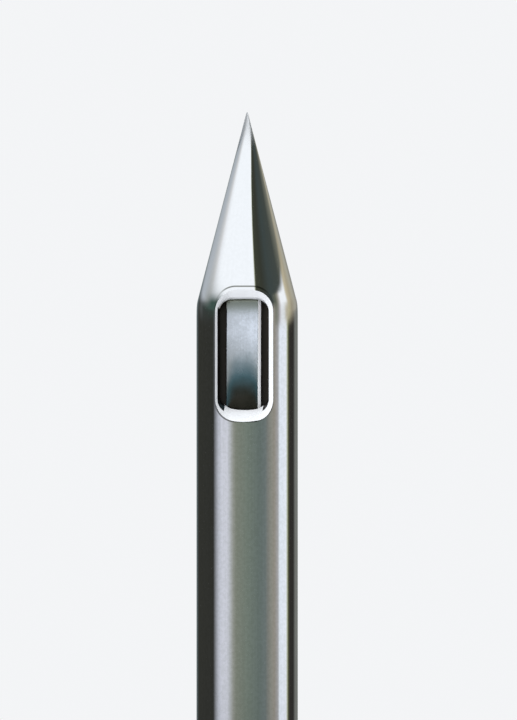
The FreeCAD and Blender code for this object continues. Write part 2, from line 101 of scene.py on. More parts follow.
def toMetres(piece, name):
    # pieces this fine are modelled in millimetres and scaled down once they are done
    pickOnly(piece)
    piece.name = piece.data.name = name
    piece.scale = (0.001, 0.001, 0.001)
    bpy.ops.object.transform_apply(location=True, rotation=True, scale=True)


def ringUp(height, ratio, middle):
    # one more ring of a turned shape: up by height, then in or out round the axis
    bpy.ops.mesh.extrude_region_move(TRANSFORM_OT_translate={"value": (0, 0, height)})
    if ratio != 1:
        bpy.ops.transform.resize(value=(ratio, ratio, 1), center_override=(0, 0, middle))


def turnedShape(stations, divisions, fillStart, fillEnd):
    # stations are (height, radius) going along the shape
    startFresh()
    (height, radius), *following = stations
    bpy.ops.mesh.primitive_circle_add(vertices=divisions, radius=radius, location=(0, 0, height),
                                      fill_type="NGON" if fillStart else "NOTHING")
    piece = bpy.context.object
    bpy.ops.object.transform_apply(location=True, rotation=True, scale=True)
    editAll()
    if fillStart:
        bpy.ops.mesh.flip_normals()
        bpy.ops.mesh.select_mode(type="EDGE")
        bpy.ops.mesh.region_to_loop()
    for nextHeight, nextRadius in following:
        ringUp(nextHeight - height, nextRadius / radius, nextHeight)
        height, radius = nextHeight, nextRadius
    if fillEnd:
        bpy.ops.mesh.edge_face_add()
    bpy.ops.mesh.select_all(action="SELECT")
    bpy.ops.mesh.normals_make_consistent(inside=False)
    bpy.ops.object.mode_set(mode="OBJECT")
    return piece


# Shader tools

def addNode(tree, kind, settings=None, sockets=None):
    node = tree.nodes.new(kind)
    for name, value in (settings or {}).items():
        setattr(node, name, value)
    for name, value in (sockets or {}).items():
        if isinstance(value, bpy.types.NodeSocket):
            tree.links.new(value, node.inputs[name])
        else:
            node.inputs[name].default_value = value
    return node


def sums(tree, operation, first, second=0.0, third=0.0):
    sockets = {0: first, 1: second, 2: third}
    return addNode(tree, "ShaderNodeMath", {"operation": operation}, sockets).outputs[0]


def fade(tree, value, low, high, start=0.0, end=1.0):
    # runs from start to end while value runs from low to high
    sockets = {"Value": value, "From Min": low, "From Max": high, "To Min": start, "To Max": end}
    return addNode(tree, "ShaderNodeMapRange", {"interpolation_type": "SMOOTHSTEP"}, sockets).outputs[0]


def drift(tree, noise, start, end):
    # noise keeps near its middle, so that is what the whole change is spread over
    return fade(tree, noise, 0.3, 0.7, start, end)


def blendColours(tree, share, first, second):
    node = addNode(tree, "ShaderNodeMix", {"data_type": "RGBA"}, {0: share, 6: first, 7: second})
    return node.outputs[2]


def tone(red, green, blue):
    # a colour named by its 0 to 255 screen values
    shares = [value / 255 for value in (red, green, blue)]
    linear = [share / 12.92 if share <= 0.04 else ((share + 0.055) / 1.055) ** 2.4 for share in shares]
    return (*linear, 1.0)


def ramp(tree, value, stops):
    node = addNode(tree, "ShaderNodeValToRGB", None, {0: value})
    elements = node.color_ramp.elements
    while len(elements) < len(stops):
        elements.new(0.5)
    for element, (place, colour) in zip(elements, stops):
        element.position = place
        element.color = colour
    return node.outputs[0]


def objectPlace(tree):
    coordinates = addNode(tree, "ShaderNodeTexCoord").outputs["Object"]
    return addNode(tree, "ShaderNodeSeparateXYZ", None, {0: coordinates}).outputs


def bumped(tree, height, distance, under=None):
    sockets = {"Strength": 1.0, "Distance": distance, "Height": height}
    if under is not None:
        sockets["Normal"] = under
    return addNode(tree, "ShaderNodeBump", None, sockets).outputs[0]


def newGroup(name, inputs, outputs):
    group = bpy.data.node_groups.new(name, "ShaderNodeTree")
    for direction, sockets in (("INPUT", inputs), ("OUTPUT", outputs)):
        for socketName, kind in sockets.items():
            group.interface.new_socket(name=socketName, in_out=direction, socket_type=f"NodeSocket{kind}")
    return group, addNode(group, "NodeGroupInput").outputs, addNode(group, "NodeGroupOutput").inputs


def useGroup(tree, group, sockets):
    return addNode(tree, "ShaderNodeGroup", {"node_tree": group}, sockets).outputs


def newMaterial(name, **plain):
    material = bpy.data.materials.new(name)
    material.use_nodes = True
    tree = material.node_tree
    shader = tree.nodes["Principled BSDF"]
    for socket, value in plain.items():
        shader.inputs[socket.replace("_", " ")].default_value = value
    return material, tree, shader


def dress(tree, shader, colour, roughness, normal=None):
    tree.links.new(colour, shader.inputs["Base Color"])
    tree.links.new(roughness, shader.inputs["Roughness"])
    if normal is not None:
        tree.links.new(normal, shader.inputs["Normal"])


def buildStreaks():
    # fine marks that run along the needle, as drawing and grinding leave them
    group, given, result = newGroup("streaks", {"Count": "Float", "Per Metre": "Float"}, {"Marks": "Float"})
    place = objectPlace(group)
    turn = sums(group, "ARCTAN2", place[0], sums(group, "MULTIPLY", place[1], -1.0))
    around = sums(group, "MULTIPLY", turn, given["Count"])
    along = sums(group, "MULTIPLY", place[2], given["Per Metre"])
    flat = addNode(group, "ShaderNodeCombineXYZ", None, {0: around, 1: along}).outputs[0]
    marks = addNode(group, "ShaderNodeTexNoise", None,
                    {"Vector": flat, "Scale": 1.0, "Detail": 3.0, "Roughness": 0.6})
    group.links.new(marks.outputs[0], result["Marks"])
    return group


def buildGrain():
    # even fine grain in three directions, with coarser clouds under it
    group, given, result = newGroup("grain", {"Scale": "Float", "Cloud Scale": "Float"},
                                    {"Grain": "Float", "Clouds": "Float"})
    place = addNode(group, "ShaderNodeTexCoord").outputs["Object"]
    for scale, detail, output in (("Scale", 3.0, "Grain"), ("Cloud Scale", 2.0, "Clouds")):
        noise = addNode(group, "ShaderNodeTexNoise", None,
                        {"Vector": place, "Scale": given[scale], "Detail": detail})
        group.links.new(noise.outputs[0], result[output])
    return group


def buildPortLine():
    # painted shade: a thin dark line where the bevelled rim leaves the outside of the tube
    size = {"halfWidth": 0.1515e-3, "halfLength": 0.352e-3, "corner": 0.108e-3, "line": 6e-6,
            "aside": 2e-6, "lower": 1.3e-6, "front": (-0.0002, -0.00012), "overTop": (0.00031, 0.000345),
            "lowerEnd": (-0.00031, -0.00024), "faint": 0.25}
    group, _, result = newGroup("portLine", {}, {"Line": "Float"})
    place = objectPlace(group)
    middle = levels["portMiddle"] / 1000
    beyond = []
    for value, centre, half in ((place[0], size["aside"], size["halfWidth"]),
                                (place[2], middle - size["lower"], size["halfLength"])):
        away = sums(group, "ABSOLUTE", sums(group, "SUBTRACT", value, centre))
        beyond.append(sums(group, "MAXIMUM", sums(group, "SUBTRACT", away, half - size["corner"]), 0.0))
    square = sums(group, "ADD", *[sums(group, "MULTIPLY", item, item) for item in beyond])
    outside = sums(group, "SUBTRACT", sums(group, "SQRT", square), size["corner"])
    line = fade(group, sums(group, "ABSOLUTE", outside), 0.25 * size["line"], size["line"], 1.0, 0.0)
    facing = fade(group, place[1], *size["front"], 1.0, 0.0)
    # the painted shade line is clearest over the top and round the lower end
    along = sums(group, "SUBTRACT", place[2], middle)
    overTop = fade(group, along, *size["overTop"], size["faint"], 1.0)
    lowerEnd = fade(group, along, *size["lowerEnd"], 1.0, size["faint"])
    strength = sums(group, "MULTIPLY", facing, sums(group, "MAXIMUM", overTop, lowerEnd))
    group.links.new(sums(group, "MULTIPLY", line, strength), result["Line"])
    return group


streaks = buildStreaks()
grain = buildGrain()
portLine = buildPortLine()
print("shader groups are ready")


# Materials, with heights and depths in metres, as a shader sees them

def drawnSteel():
    look = {"light": (0.935, 0.935, 0.94, 1), "shade": (0.845, 0.85, 0.84, 1), "edgeShade": (0.24, 0.24, 0.22, 1),
            "polish": 0.035, "worn": 0.06, "drawDepth": 3e-8, "grainDepth": 1.5e-8,
            "tubeEnd": 0.12245, "coneStart": 0.12266, "conePatches": 0.25, "spotsAt": (0.62, 0.98),
            "tipStart": 0.1234, "tipEnd": 0.12361, "tipRoughness": 0.5}
    material, tree, shader = newMaterial("drawnSteel", Metallic=1.0)
    marks = useGroup(tree, streaks, {"Count": 26.0, "Per Metre": 900.0})["Marks"]
    speck = useGroup(tree, grain, {"Scale": 60000.0, "Cloud Scale": 4500.0})
    height = objectPlace(tree)[2]
    # the drawn tube is a little patchy, the polished cone hardly
    patchy = fade(tree, height, look["tubeEnd"], look["coneStart"], 1.0, look["conePatches"])
    mottle = sums(tree, "MULTIPLY_ADD", marks, 0.6, speck["Grain"])
    spots = fade(tree, mottle, *look["spotsAt"], 1.0, 0.0)
    colour = blendColours(tree, sums(tree, "MULTIPLY", spots, patchy), look["light"], look["shade"])
    # painted shade: the dark line round the port's outer edge
    colour = blendColours(tree, useGroup(tree, portLine, {})["Line"], colour, look["edgeShade"])
    polish = fade(tree, speck["Clouds"], 0.35, 0.7, look["polish"], look["worn"])
    tip = fade(tree, height, look["tipStart"], look["tipEnd"])
    roughness = sums(tree, "MULTIPLY_ADD", tip, look["tipRoughness"], polish)
    drawn = bumped(tree, marks, look["drawDepth"])
    dress(tree, shader, colour, roughness, bumped(tree, speck["Grain"], look["grainDepth"], drawn))
    return material


def blastedRim():
    look = {"shade": (0.95, 0.965, 0.99, 1), "light": (1.0, 1.0, 1.0, 1), "roughness": (0.35, 0.5),
            "depth": 6e-7}
    material, tree, shader = newMaterial("blastedRim", Metallic=0.1)
    speck = useGroup(tree, grain, {"Scale": 90000.0, "Cloud Scale": 9000.0})
    dress(tree, shader, blendColours(tree, speck["Grain"], look["shade"], look["light"]),
          drift(tree, speck["Clouds"], *look["roughness"]), bumped(tree, speck["Grain"], look["depth"]))
    return material


# painted shade: the bore, the port's sides and the stylet's steps are coloured near black, as they lie in
# shade
def paintedShadeBore():
    look = {"shade": (0.045, 0.04, 0.035, 1), "light": (0.12, 0.105, 0.095, 1), "roughness": (0.3, 0.45)}
    material, tree, shader = newMaterial("paintedShadeBore", Metallic=1.0)
    marks = useGroup(tree, streaks, {"Count": 14.0, "Per Metre": 1500.0})["Marks"]
    dress(tree, shader, blendColours(tree, marks, look["shade"], look["light"]),
          drift(tree, marks, *look["roughness"]))
    return material


def portWall():
    look = {"shade": (0.84, 0.80, 0.68, 1), "light": (0.97, 0.94, 0.84, 1), "roughness": (0.3, 0.45)}
    material, tree, shader = newMaterial("portWall", Metallic=0.1)
    speck = useGroup(tree, grain, {"Scale": 80000.0, "Cloud Scale": 12000.0})
    dress(tree, shader, blendColours(tree, speck["Clouds"], look["shade"], look["light"]),
          drift(tree, speck["Grain"], *look["roughness"]))
    return material


def styletSteel():
    # painted light and shade on the ground flat: at its front end a painted shade under the port's edge, then
    # a warm painted reflection of the port's wall; towards its rear a teal and then a dark painted
    # reflection, first along its middle; and painted light growing towards its right
    look = {"light": (0.86, 0.90, 0.995, 1), "shade": (0.66, 0.69, 0.75, 1), "lipShade": (0.38, 0.41, 0.38, 1),
            "wallReflection": (0.60, 0.60, 0.51, 1), "tealReflection": (0.17, 0.30, 0.37, 1), "darkReflection": (0.115, 0.105, 0.09, 1),
            "lipShadeAt": (0.12257, 0.12264), "wallReflectionAt": (0.12264, 0.12266), "tealReflectionAt": (0.12225, 0.12241),
            "darkReflectionAt": (0.12215, 0.12228), "flatAt": (0.12197, 0.12199), "roughness": (0.2, 0.28),
            "grindDepth": 4e-8, "middle": -0.0000105, "bow": 3000.0, "edgeBow": 2.2e12,
            "cloudLift": 0.00008, "paintedLightToRight": 3500.0}
    material, tree, shader = newMaterial("styletSteel", Metallic=1.0)
    marks = useGroup(tree, streaks, {"Count": 30.0, "Per Metre": 700.0})["Marks"]
    speck = useGroup(tree, grain, {"Scale": 70000.0, "Cloud Scale": 9000.0})
    place = objectPlace(tree)
    # the painted reflections at the rear reach further forward along the flat's middle, with a cloudy edge
    aside = sums(tree, "SUBTRACT", place[0], look["middle"])
    square = sums(tree, "MULTIPLY", aside, aside)
    bow = sums(tree, "MULTIPLY_ADD", square, look["edgeBow"], look["bow"])
    height = sums(tree, "ADD", place[2], sums(tree, "MULTIPLY", square, bow))
    cloud = sums(tree, "SUBTRACT", speck["Clouds"], 0.5)
    height = sums(tree, "MULTIPLY_ADD", cloud, look["cloudLift"], height)
    mottle = sums(tree, "MULTIPLY_ADD", marks, 0.9, speck["Grain"])
    # painted light: the flat's colour grows lighter towards its right
    mottle = sums(tree, "MULTIPLY_ADD", place[0], look["paintedLightToRight"], mottle)
    colour = blendColours(tree, fade(tree, mottle, 0.55, 1.4), look["shade"], look["light"])
    # painted shade under the port's edge, then a painted reflection of the port's wall
    for name in ("lipShade", "wallReflection"):
        colour = blendColours(tree, fade(tree, place[2], *look[name + "At"]), colour, look[name])
    # painted teal and dark reflections towards the flat's rear
    for name in ("tealReflection", "darkReflection"):
        colour = blendColours(tree, fade(tree, height, *look[name + "At"], 1.0, 0.0), colour, look[name])
    # further back the wire is round and bright
    colour = blendColours(tree, fade(tree, place[2], *look["flatAt"]), look["light"], colour)
    dress(tree, shader, colour, drift(tree, speck["Clouds"], *look["roughness"]),
          bumped(tree, marks, look["grindDepth"]))
    return material


def clearHubPlastic():
    look = {"shade": (0.93, 0.96, 0.97, 1), "light": (0.97, 0.985, 0.985, 1), "roughness": (0.02, 0.07),
            "depth": 1e-6, "letThrough": (0.96, 0.975, 0.98, 1)}
    material, tree, shader = newMaterial("clearHubPlastic", Transmission_Weight=1.0, IOR=1.58)
    speck = useGroup(tree, grain, {"Scale": 9000.0, "Cloud Scale": 350.0})
    dress(tree, shader, blendColours(tree, speck["Clouds"], look["shade"], look["light"]),
          drift(tree, speck["Clouds"], *look["roughness"]), bumped(tree, speck["Clouds"], look["depth"]))
    # light on its way to what lies inside goes straight through
    path = addNode(tree, "ShaderNodeLightPath").outputs
    inside = sums(tree, "MAXIMUM", path["Is Shadow Ray"], path["Is Diffuse Ray"])
    straight = addNode(tree, "ShaderNodeBsdfTransparent", None, {"Color": look["letThrough"]})
    mixed = addNode(tree, "ShaderNodeMixShader", None,
                    {0: inside, 1: shader.outputs[0], 2: straight.outputs[0]})
    tree.links.new(mixed.outputs[0], tree.nodes["Material Output"].inputs["Surface"])
    return material


def orangePlastic():
    # moulded with a fine spark-eroded grain; pigment and polish drift a little over the part
    look = {"shade": (0.76, 0.17, 0.009, 1), "light": (0.83, 0.215, 0.015, 1),
            "deep": (0.73, 0.158, 0.008, 1), "deepMost": 0.4, "roughness": (0.24, 0.42),
            "fineDepth": 1.1e-5, "broadDepth": 2.5e-5, "scatter": (1.0, 0.35, 0.1)}
    material, tree, shader = newMaterial("orangePlastic", Subsurface_Weight=0.1, Subsurface_Scale=0.0006,
                                         Subsurface_Radius=look["scatter"], IOR=1.5)
    speck = useGroup(tree, grain, {"Scale": 9000.0, "Cloud Scale": 420.0})
    flow = useGroup(tree, grain, {"Scale": 2600.0, "Cloud Scale": 120.0})
    pigment = blendColours(tree, drift(tree, speck["Clouds"], 0.0, 1.0), look["shade"], look["light"])
    deep = fade(tree, flow["Clouds"], 0.35, 0.75, 0.0, look["deepMost"])
    fine = bumped(tree, speck["Grain"], look["fineDepth"])
    broad = bumped(tree, flow["Grain"], look["broadDepth"], fine)
    dress(tree, shader, blendColours(tree, deep, pigment, look["deep"]),
          drift(tree, flow["Grain"], *look["roughness"]), broad)
    return material


def curedAdhesive():
    look = {"shade": (0.90, 0.86, 0.72, 1), "light": (0.96, 0.94, 0.86, 1), "roughness": (0.08, 0.2),
            "depth": 5e-6}
    material, tree, shader = newMaterial("curedAdhesive", Transmission_Weight=0.75, IOR=1.52)
    speck = useGroup(tree, grain, {"Scale": 7000.0, "Cloud Scale": 900.0})
    dress(tree, shader, blendColours(tree, speck["Clouds"], look["shade"], look["light"]),
          drift(tree, speck["Clouds"], *look["roughness"]), bumped(tree, speck["Clouds"], look["depth"]))
    return material


steel, rim, wall, bore, wireSteel = drawnSteel(), blastedRim(), portWall(), paintedShadeBore(), styletSteel()
hubPlastic, capPlastic, adhesive = clearHubPlastic(), orangePlastic(), curedAdhesive()
print("materials are ready")


# Cannula: tube and solid point as one ground surface, with the bevelled port

cannula = {"radius": 0.265, "boreRadius": 0.16, "pointLength": 1.02, "tipRadius": 0.0038, "divisions": 160,
           "bedded": 6.99, "plainRings": (80.0, 115.0), "behindPort": (-0.6, -0.4),
           "shoulderStart": 122.47, "shoulderEnd": 122.656, "shoulderPower": 6.16, "shoulderRings": 22,
           "coneStep": 0.013, "coneRings": 10, "domeRings": 5, "softAngle": 25, "tipTwist": 0.86,
           "twistPower": 6,
           "coneShares": (0.2, 0.3, 0.4, 0.5, 0.6, 0.66, 0.72, 0.77, 0.82, 0.86, 0.89, 0.92, 0.94, 0.96,
                          0.98),
           "shine": ((122.47, 0), (122.60, 0.09), (122.64, 0.24), (122.67, 0.48), (122.70, 0.66),
                     (122.74, 0.74), (122.80, 0.81), (122.88, 0.92), (123.1, 1)),
           "portWidth": 0.265, "portLength": 0.60, "cornerRadius": 0.07, "cornerSegments": 14,
           "bevelDepth": 0.07, "bevelWidth": 0.055, "brimAside": 0.045, "brimShorter": 0.0125, "clear": 0.1,
           "rootAside": -0.0055, "rootWider": 0.002, "rootLower": 0.009, "rampDepth": 0.045, "rampTop": 0.01,
           "slopeDepth": 0.07, "slopeRise": 0.031, "cutTo": -0.03}


def shoulderTurn(size, height):
    # how far the surface has turned from tube to cone: slowly at first, then quickly
    share = (height - size["shoulderStart"]) / (size["shoulderEnd"] - size["shoulderStart"])
    return math.atan2(size["radius"], size["pointLength"]) * min(max(share, 0), 1) ** size["shoulderPower"]


def shineTurn(size, height):
    # polishing drags the shine on over the first of the cone
    slope = math.atan2(size["radius"], size["pointLength"])
    marks = size["shine"]
    for (low, lowShare), (high, highShare) in zip(marks, marks[1:]):
        if height <= high:
            return slope * (lowShare + (highShare - lowShare) * max(height - low, 0) / (high - low))
    return slope


def outerProfile(size):
    # heights and radii from the rear end to the tip
    radius, length, point = size["radius"], size["pointLength"], levels["point"]
    plain = [levels["tubeRear"], levels["tubeRear"] + size["bedded"], *size["plainRings"]]
    plain += [levels["portMiddle"] + step for step in size["behindPort"]]
    stations = [(height, radius) for height in plain]
    start, end, rings = size["shoulderStart"], size["shoulderEnd"], size["shoulderRings"]
    reached = radius
    stations.append((start, reached))
    for index in range(rings):
        low = start + (end - start) * index / rings
        step = (end - start) / rings
        reached -= step * math.tan(shoulderTurn(size, low + step / 2))
        stations.append((low + step, reached))
    tipRadius, slope = size["tipRadius"], math.atan2(radius, length)
    tipHeight = point - length * tipRadius / radius
    heights = [end + size["coneStep"] * index for index in range(1, size["coneRings"] + 1)]
    heights += [end + (tipHeight - end) * share for share in size["coneShares"]]
    stations += [(height, radius * (point - height) / length) for height in heights]
    stations.append((tipHeight, tipRadius))
    # the very tip is rounded off
    domeRadius, domeRings = tipRadius / math.cos(slope), size["domeRings"]
    for index in range(1, domeRings):
        lift = slope + (math.pi / 2 - slope) * index / domeRings
        rise = domeRadius * (math.sin(lift) - math.sin(slope))
        stations.append((tipHeight + rise, domeRadius * math.cos(lift)))
    return stations


def portCutter(size):
    # from a bevel's depth outside the tube to as far inside, the cutter narrows by the bevel's width twice
    startFresh()
    depth, spread, clear = size["bevelDepth"], size["bevelWidth"], size["clear"]
    brim, root = -(size["radius"] + depth), -(size["radius"] - depth)
    start = (size["brimAside"], brim - clear, levels["portMiddle"] + size["brimShorter"] / 2)
    bpy.ops.mesh.primitive_plane_add(size=1, location=start, rotation=(math.pi / 2, 0, 0))
    cutter = bpy.context.object
    cutter.scale = (size["portWidth"] + 4 * spread, size["portLength"] + 4 * spread - size["brimShorter"], 1)
    bpy.ops.object.transform_apply(location=True, rotation=True, scale=True)
    editAll()
    bpy.ops.mesh.bevel(offset=size["cornerRadius"] + 2 * spread, segments=size["cornerSegments"],
                       affect="VERTICES")
    bpy.ops.mesh.select_all(action="SELECT")
    bpy.ops.mesh.extrude_region_move(TRANSFORM_OT_translate={"value": (0, clear, 0)})
    bpy.ops.mesh.select_all(action="SELECT")
    bpy.ops.mesh.normals_make_consistent(inside=False)
    selectFaces(cutter, lambda face: face.normal.y > 0.99)
    bpy.ops.mesh.inset(thickness=2 * spread - size["rootWider"], depth=0, use_even_offset=True)
    bpy.ops.transform.resize(value=(1, 1, 1 + size["brimShorter"] / size["portLength"]))
    bpy.ops.transform.translate(value=(size["rootAside"] - size["brimAside"], root - brim,
                                       -size["rootLower"] - size["brimShorter"] / 2))
    # both ends of the port slope inwards, the near one on down to the bore
    reached = root
    for depth, top, bottom in ((size["rampDepth"], size["rampTop"], size["slopeRise"] * 2 / 3),
                               (size["slopeDepth"] - size["rampDepth"], 0, size["slopeRise"] / 3)):
        lift = (bottom - top) / 2
        bpy.ops.mesh.extrude_region_move(TRANSFORM_OT_translate={"value": (0, depth, lift)})
        bpy.ops.transform.resize(value=(1, 1, 1 - (top + bottom) / size["portLength"]),
                                 center_override=(0, 0, levels["portMiddle"] + lift))
        reached += depth
    bpy.ops.mesh.extrude_region_move(TRANSFORM_OT_translate={"value": (0, size["cutTo"] - reached, 0)})
    bpy.ops.mesh.select_all(action="SELECT")
    bpy.ops.mesh.normals_make_consistent(inside=False)
    bpy.ops.object.mode_set(mode="OBJECT")
    for material in (steel, rim, bore, wall):
        cutter.data.materials.append(material)
    for face in cutter.data.polygons:
        # the bevel and both sloping ends are blasted, the wall over the far end is plain, the sides get the
        # bore's painted shade
        deep = face.center.y > root + 1e-3
        nearEnd = face.normal.z < -0.8
        farEnd = face.normal.z > 0.3
        shallow = face.center.y < root + size["rampDepth"]
        face.material_index = 1 if not deep or nearEnd or (farEnd and shallow) else 3 if farEnd else 2
    return cutter


def buildCannula(size):
    piece = turnedShape(outerProfile(size), size["divisions"], fillStart=False, fillEnd=True)
    for material in (steel, rim, bore, wall):
        piece.data.materials.append(material)
    # the bore: the rear ring goes in, then up to where the solid point begins
    radius, boreRadius, rear = size["radius"], size["boreRadius"], levels["tubeRear"]
    selectEdges(piece, lambda a, b: abs(a.z - rear) < 1e-4 and abs(b.z - rear) < 1e-4)
    ringUp(0, boreRadius / radius, rear)
    ringUp(levels["lumenEnd"] - rear, 1, 0)
    bpy.ops.mesh.edge_face_add()
    bpy.ops.mesh.select_all(action="SELECT")
    bpy.ops.mesh.normals_make_consistent(inside=False)
    bpy.ops.object.mode_set(mode="OBJECT")
    for face in piece.data.polygons:
        reach = max(math.hypot(*piece.data.vertices[i].co.xy) for i in face.vertices)
        if reach < boreRadius + 1e-3 and face.center.z < levels["lumenEnd"] + 1e-3:
            face.material_index = 2
    cutWith(piece, portCutter(size))
    return piece


def smoothOuter(piece, size):
    # outer faces take the exact normals of tube, shoulder and cone, so that the port leaves no dents in the
    # shine; towards the tip the grind is slightly twisted
    base, point = levels["coneBase"], levels["point"]
    tipHeight = point - size["pointLength"] * size["tipRadius"] / size["radius"]
    pickOnly(piece)
    bpy.ops.object.shade_smooth_by_angle(angle=math.radians(size["softAngle"]))
    mesh = piece.data
    normals = [Vector(item.vector) for item in mesh.corner_normals]
    for face in mesh.polygons:
        if face.material_index or abs(face.normal.z) > 0.95:
            continue
        for corner in face.loop_indices:
            place = mesh.vertices[mesh.loops[corner].vertex_index].co * 1000
            if place.z > tipHeight + 1e-5:
                continue
            lift = shineTurn(size, place.z)
            twist = size["tipTwist"] * min(max((place.z - base) / (point - base), 0), 1) ** size["twistPower"]
            around = math.atan2(place.y, place.x) - twist
            normals[corner] = Vector((math.cos(around) * math.cos(lift), math.sin(around) * math.cos(lift),
                                      math.sin(lift)))
    mesh.normals_split_custom_set([tuple(normal) for normal in normals])


tube = buildCannula(cannula)
toMetres(tube, "cannula")
smoothOuter(tube, cannula)
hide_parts("cannula_tube", "point_core")
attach(tube, "needle")
print("cannula:", len(tube.data.polygons), "faces")


# Stylet: round wire with a bowed flat ground on it behind the port, and a flattened tail in the cap

stylet = {"radius": 0.145, "divisions": 96, "plainRings": (17.5, 80.0), "behindHead": 0.2, "headRings": 40,
          "hair": 1e-5, "roundingSteps": 8, "bandSteps": 31,
          "bandLeft": -0.1025, "bandRight": 0.080, "bandFace": 0.115, "stepAngle": 7.5, "crown": 0.004,
          "lean": ((121.9, -0.12), (122.26, 0), (122.5, 0.08), (122.54, 0.08), (122.6, 0.042),
                   (122.65, 0.028), (122.8, 0.028)),
          "leftRounding": 0.006, "rightChamfer": 0.015, "chamferRise": 0.55, "endChamfer": 0.02,
          "tailWidth": 0.62, "tailThickness": 0.14, "tailLength": 1.8, "softAngle": 30}


def boxAt(low, high):
    startFresh()
    low, high = Vector(low), Vector(high)
    bpy.ops.mesh.primitive_cube_add(size=1, location=(low + high) / 2)
    box = bpy.context.object
    box.scale = high - low
    bpy.ops.object.transform_apply(location=True, rotation=True, scale=True)
    return box


def bandRecess(size, height):
    # how far the ground flat lies behind its foremost line, from how much it leans at each height
    recess, marks = 0, size["lean"]
    for (low, lowLean), (high, highLean) in zip(marks, marks[1:]):
        reached = min(max(height, low), high)
        lean = lowLean + (highLean - lowLean) * (reached - low) / (high - low)
        recess += (reached - low) * (lowLean + lean) / 2
    return recess


def stepDepth(size):
    # the steps on either side of the flat reach back to a vertex of the round wire
    return size["radius"] * math.sin(math.radians(size["stepAngle"]))


def headOutline(size, height):
    # the front of the wire's head as it is ground, from the left step to the right one; the rest stays round
    left, right, face = size["bandLeft"], size["bandRight"], -size["bandFace"]
    face += bandRecess(size, height) - bandRecess(size, size["lean"][1][0])
    rounding, chamfer = size["leftRounding"], size["rightChamfer"]
    outline = [(left, -stepDepth(size))]
    for index in reversed(range(size["roundingSteps"] + 1)):
        bend = math.pi / 2 * index / size["roundingSteps"]
        outline.append((left + rounding * (1 - math.sin(bend)), face + rounding * (1 - math.cos(bend))))
    flatStart, flatEnd = left + rounding, right - chamfer
    middle, half = (flatStart + flatEnd) / 2, (flatEnd - flatStart) / 2
    for index in range(1, size["bandSteps"] + 1):
        across = flatStart + (flatEnd - flatStart) * index / size["bandSteps"]
        crown = size["crown"] * (1 - ((across - middle) / half) ** 2)
        outline.append((across, face - crown))
    outline += [(right, face + size["chamferRise"] * chamfer), (right, -stepDepth(size))]
    return outline


def buildStylet(size):
    radius, end, start = size["radius"], levels["styletEnd"], levels["facetStart"]
    rings = size["headRings"]
    plain = [levels["tailStart"], *size["plainRings"], start - size["behindHead"], start]
    stations = [(height, radius) for height in plain]
    # the head's first ring lies a hair above the round wire's last one
    hair = size["hair"]
    stations += [(start + hair + (end - start) * index / rings, radius) for index in range(rings + 1)]
    piece = turnedShape(stations, size["divisions"], fillStart=True, fillEnd=True)
    spacing = 2 * math.pi / size["divisions"]
    for point in piece.data.vertices:
        if point.co.z > start + hair / 2:
            outline = headOutline(size, point.co.z)
            place = round(math.atan2(point.co.x, -point.co.y) / spacing) + len(outline) // 2
            if 0 <= place < len(outline):
                point.co.x, point.co.y = outline[place]
            if point.co.z > end - 1e-3:
                point.co.xy *= 1 - size["endChamfer"] / radius
    width, thickness, foot = size["tailWidth"] / 2, size["tailThickness"] / 2, levels["tailStart"]
    cutWith(piece, boxAt((-width, -thickness, foot), (width, thickness, foot + size["tailLength"])), "UNION")
    piece.data.materials.clear()
    for material in (wireSteel, bore, rim):
        piece.data.materials.append(material)
    # the steps get the bore's painted shade, the chamfer is blasted like the port's rim
    stepBack, chamferStart = stepDepth(size), size["bandRight"] - size["rightChamfer"]
    for face in piece.data.polygons:
        sideways = abs(face.center.y + stepBack) < 1e-3 or abs(face.normal.x) > 0.98
        slanting = 0.3 < face.normal.x < 0.9 and face.center.x > chamferStart
        stepped = sideways and face.center.z > start
        chamfered = slanting and face.center.z > start + 1e-3
        face.material_index = 1 if stepped else 2 if chamfered else 0
    return piece


wire = buildStylet(stylet)
toMetres(wire, "stylet")
bpy.ops.object.shade_smooth_by_angle(angle=math.radians(stylet["softAngle"]))
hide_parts("stylet_wire")
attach(wire, "stylet")
print("stylet:", len(wire.data.polygons), "faces")


# Moulded parts and adhesive keep their CAD shapes

for nodeName, material in (("needle_hub", hubPlastic), ("stylet_cap", capPlastic), ("cannula_bond", adhesive),
                           ("stylet_bond", adhesive)):
    for slot in nodes[nodeName].material_slots:
        slot.material = material
print("moulded parts are dressed")


# Floor and studio

studio = {"floorRadius": 0.6, "floorFade": (0.35, 0.588), "floorColour": (0.84, 0.85, 0.87, 1),
          "backdrop": (0.90, 0.91, 0.925, 1), "softFrom": (-0.25, -0.95, 0.2),
          "softTop": (1.3, 1.33, 1.37, 1), "softFoot": (0.55, 0.56, 0.58, 1), "softAt": (-0.7, 0.8),
          "dome": (0.82, 0.85, 0.9, 1), "domeAt": (0.5, 0.72), "horizonAt": (-0.12, -0.03),
          "underfoot": (0.02, 0.02, 0.022, 1), "underfootAt": (-0.2, -0.12),
          "farDown": (0.3, 0.3, 0.3, 1), "farDownAt": (-1.0, -0.85),
          "lampAim": (0, 0, 0.06), "lampSize": 0.5}

# What the polished steel sees round it: degrees round from the camera, + to the right, and the card's
# tone; first on the level
eyeLevel = [(-180, (112, 124, 126)), (-160, (92, 102, 104)), (-146, (52, 53, 49)), (-83, (50, 51, 48)),
            (-68, (192, 196, 207)), (-60, (210, 213, 224)), (-46, (208, 211, 221)), (-39, (182, 186, 189)),
            (-32, (150, 153, 146)), (-25, (128, 134, 123)), (0, (116, 127, 118)), (28, (103, 115, 111)),
            (42, (110, 120, 119)), (49, (127, 129, 124)), (56, (141, 142, 134)), (65, (149, 145, 136)),
            (75, (168, 168, 170)), (79, (230, 238, 248)), (100, (236, 242, 252)), (104, (190, 196, 172)),
            (108, (92, 95, 72)), (114, (50, 48, 46)), (131, (48, 47, 45)), (142, (116, 118, 115)),
            (180, (120, 122, 118))]
